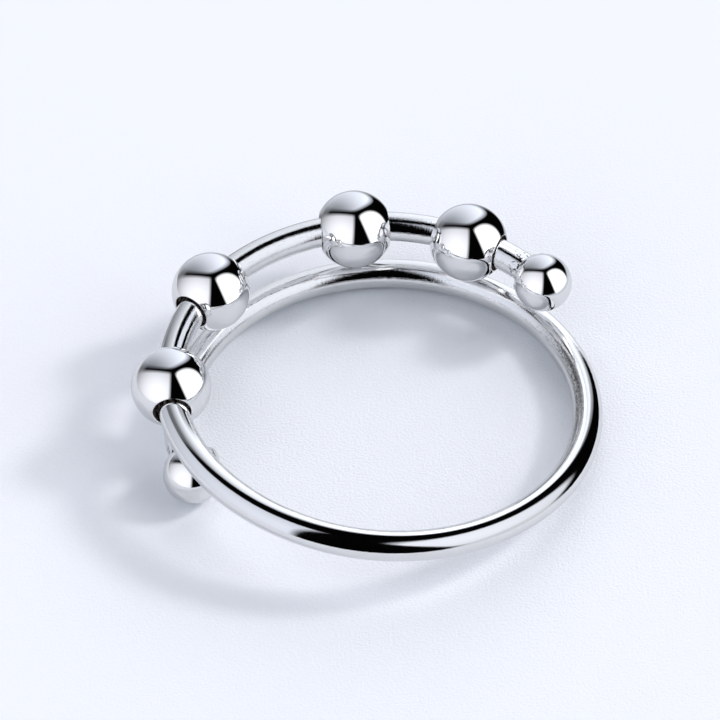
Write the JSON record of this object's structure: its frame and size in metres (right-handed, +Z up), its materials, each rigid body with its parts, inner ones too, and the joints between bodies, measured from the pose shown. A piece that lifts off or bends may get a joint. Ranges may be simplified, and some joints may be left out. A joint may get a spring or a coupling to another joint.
{
  "type": "spinner ring",
  "caption": "Open spiral finger ring of round polished wire with a ball on each end and loose round beads that slide and spin on its upper arm.",
  "frame": {"origin": "on the axis of the lower arm, in the surface that the ring lies on", "axes": "+Z up, along the finger, out of the side with the beads; +X to the right and -Y to the front, where the wire crosses over"},
  "size_m": [0.0236, 0.0237, 0.0062],
  "materials": {
    "band_silver": "polished silver wire with fine polishing marks",
    "bead_silver": "mirror-polished silver"
  },
  "bodies": {
    "band": {"band": "band_silver"},
    "bead_1": {"bead_1": "bead_silver"},
    "bead_2": {"bead_2": "bead_silver"},
    "bead_3": {"bead_3": "bead_silver"},
    "bead_4": {"bead_4": "bead_silver"}
  },
  "joints": [
    {"name": "bead_1_slide", "type": "hinge", "parent": "band", "child": "bead_1", "pos_m": [0.00001, 0, 0.00389], "axis": [0.0398, -0.0116, 0.9991], "range_deg": [-8.5, 5.5]},
    {"name": "bead_2_slide", "type": "hinge", "parent": "band", "child": "bead_2", "pos_m": [0.00001, 0, 0.00389], "axis": [0.0398, -0.0116, 0.9991], "range_deg": [-5.5, 13]},
    {"name": "bead_3_slide", "type": "hinge", "parent": "band", "child": "bead_3", "pos_m": [0.00001, 0, 0.00389], "axis": [0.0398, -0.0116, 0.9991], "range_deg": [-13, 8]},
    {"name": "bead_4_slide", "type": "hinge", "parent": "band", "child": "bead_4", "pos_m": [0.00001, 0, 0.00389], "axis": [0.0398, -0.0116, 0.9991], "range_deg": [-8, 6.5]}
  ]
}
